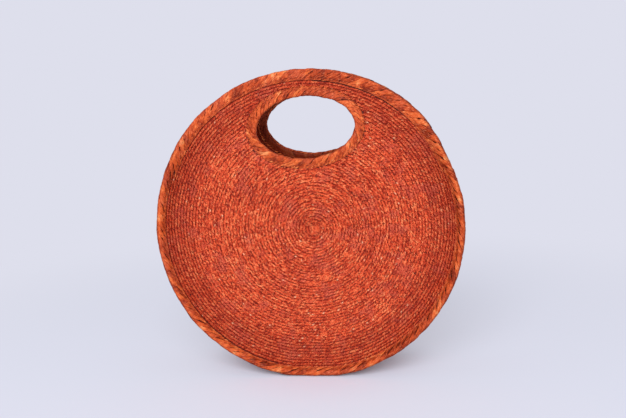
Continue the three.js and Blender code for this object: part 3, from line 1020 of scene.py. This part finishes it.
def round_hole(hole, shift, depth):
    """A hand hole's edge, counterclockwise, with the directions into the hole and forwards."""
    tilt, sideways, middle_height = hole
    t = np.linspace(0, 2 * math.pi, HOLE_STEPS + 1)[:-1]
    width = HOLE_WIDTH / 2
    height = HOLE_HEIGHT / 2
    away = np.stack((height * np.cos(t), 0 * t, width * np.sin(t)), axis=-1)
    away /= np.linalg.norm(away, axis=1)[:, None]
    edge = np.stack((width * np.cos(t), 0 * t, height * np.sin(t)), axis=-1)
    tilted = np.array((
        (math.cos(tilt), 0, math.sin(tilt)), (0, 1, 0), (-math.sin(tilt), 0, math.cos(tilt)),
    ))
    away = away @ tilted
    forwards = np.zeros_like(edge)
    forwards[:, 1] = -1
    places = edge @ tilted + (sideways, -FACE_OFFSET - depth, middle_height)
    return places + away * (HOLE_BRAID_GAP - shift), -away, forwards


short_leaf = leaf_object(
    "short_leaf", length=0.0036, width=0.0024, crown=0.0010, slant=math.radians(40),
    breadth=(0.85, 0.0),
)
hole_strips = folded_strips(
    "hole_strip", HOLE_BRAID_LEG, DISC_THICKNESS, HOLE_BRAID_PITCH,
    slit_from_margin=0.005, slit_width=0.16,
    rows=[(0.0, 0.66, HOLE_BRAID_SLANT, False), (0.62, 1.0, -HOLE_BRAID_SLANT, True)], spread=0.4,
)
for half, turn, hole, seed in HALVES:
    binding = bound_edge(
        f"{half}_handle_braid", lambda shift, depth: round_hole(hole, shift, depth),
        kept=np.ones(HOLE_STEPS), closed=True, turn=turn, strips=hole_strips,
        spacing=HOLE_BRAID_PITCH, leg=HOLE_BRAID_LEG, stack=DISC_THICKNESS, seed=seed + 32,
        selvage=(short_leaf, SHORT_LEAF_SPACING),
    )
    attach(binding, f"{half}_half")
    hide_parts(f"{half}_handle_binding")
for strip in hole_strips:
    bpy.data.objects.remove(strip)


# Gusset end bindings. Where the gusset stops at the mouth, its cut end is covered with a short piece
# of the same braid, folded over it from one disc to the other.
END_BRAID_WIDTH = 0.009
END_BRAID_REACH = 0.036
END_PATH_MARGIN = 0.014
END_BRAID_SLANT = math.radians(55)
END_SEED = 70
end_strips = folded_strips(
    "end_strip", END_BRAID_WIDTH, GUSSET_THICKNESS, HOLE_BRAID_PITCH,
    slit_from_margin=0.006, slit_width=0.2,
    rows=[(0.0, 0.72, END_BRAID_SLANT, False), (0.68, 1.0, -END_BRAID_SLANT, True)], anchor=0.5,
)
end_path_reach = END_BRAID_REACH + END_PATH_MARGIN
for name, side in (("right", 1), ("left", -1)):
    end_run = np.linspace(-end_path_reach, end_path_reach, 91) * side

    def over_end(shift, depth):
        """The gusset's end, with the directions past the end and out of the bag."""
        angle = np.full_like(end_run, side * (GUSSET_END - shift / GUSSET_FLOOR))
        places, across, normals = on_gusset(angle, end_run, depth)
        past = -side * np.stack((np.cos(angle), 0 * angle, -np.sin(angle)), axis=-1)
        return places, past, normals

    binding = bound_edge(
        f"{name}_gusset_braid", over_end, kept=np.abs(end_run) < END_BRAID_REACH, closed=False,
        turn=np.eye(3), strips=end_strips, spacing=HOLE_BRAID_PITCH, leg=END_BRAID_WIDTH,
        stack=GUSSET_THICKNESS, seed=END_SEED + side, selvage=(short_leaf, SHORT_LEAF_SPACING),
    )
    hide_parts(f"{name}_gusset_binding")
    blend_with_gusset(binding)
for flat_straw in end_strips + [selvage_leaf, short_leaf, stitch_thread]:
    bpy.data.objects.remove(flat_straw)


# Studio. A pale floor that runs on into the pale background, one broad lamp before the bag, one weak
# lamp on the other side, and even light from all round.
FLOOR_REACH = 8.0
FLOOR_DROP = 0.0002
BACKDROP = dyed(222, 223, 236)
FLOOR_COLOUR = dyed(229, 233, 251)


def seen_directly(start):
    """1 on rays from the camera, in a mirror or through glass, which see the plain background."""
    rays = start.node("ShaderNodeLightPath")
    rays = rays + rays.out("Is Glossy Ray") + rays.out("Is Transmission Ray")
    return start.node("ShaderNodeMath", {"operation": "MINIMUM"}, {0: rays, 1: 1.0})


scene = bpy.context.scene
scene.view_settings.view_transform = "Standard"
floor = add_object(
    "floor",
    [(x * FLOOR_REACH, y * FLOOR_REACH, -FLOOR_DROP) for x, y in ((-1, -1), (1, -1), (1, 1), (-1, 1))],
    [(0, 1, 2, 3)],
)
floor_finish = bpy.data.materials.new("pale_floor")
floor_finish.use_nodes = True
floor_finish.node_tree.nodes.clear()
start = Wire(floor_finish.node_tree)
from_bag = start.node(
    "ShaderNodeVectorMath", {"operation": "LENGTH"}, {0: start.node("ShaderNodeTexCoord").out("Object")}
).out("Value")
shares = [
    start.node(
        "ShaderNodeMapRange", {"interpolation_type": "SMOOTHSTEP"},
        {"Value": from_bag, "From Min": nearest, "From Max": furthest, "To Max": share},
    )
    for nearest, furthest, share in ((0.03, 0.15, 0.5), (0.25, 0.8, 0.5))
]
far = shares[0] + shares[1]
near_floor = start.node("ShaderNodeBsdfDiffuse", None, {"Color": FLOOR_COLOUR})
far_floor = start.node("ShaderNodeEmission", None, {"Color": BACKDROP, "Strength": 1.0})
surface = start.node(
    "ShaderNodeMixShader", None, {0: far * seen_directly(start), 1: near_floor, 2: far_floor}
)
start.node("ShaderNodeOutputMaterial", None, {"Surface": surface})
floor.data.materials.append(floor_finish)

for name, place, size, power in (
    ("broad_lamp", (-0.12, -2.1, 1.5), 1.6, 54.5),
    ("weak_lamp", (1.4, -1.8, 0.9), 1.2, 2.5),
):
    lamp = bpy.data.objects.new(name, bpy.data.lights.new(name, "AREA"))
    lamp.data.size = size
    lamp.data.energy = power
    lamp.location = place
    lamp.rotation_euler = (BAG_MIDDLE - Vector(place)).to_track_quat("-Z", "Y").to_euler()
    scene.collection.objects.link(lamp)

scene.world = bpy.data.worlds.new("studio")
scene.world.use_nodes = True
scene.world.node_tree.nodes.clear()
start = Wire(scene.world.node_tree)
even = start.node("ShaderNodeBackground", None, {"Color": (1.0, 0.98, 0.97, 1.0), "Strength": 0.48})
backdrop = start.node("ShaderNodeBackground", None, {"Color": BACKDROP, "Strength": 1.0})
seen = start.node("ShaderNodeMixShader", None, {0: seen_directly(start), 1: even, 2: backdrop})
start.node("ShaderNodeOutputWorld", None, {"Surface": seen})
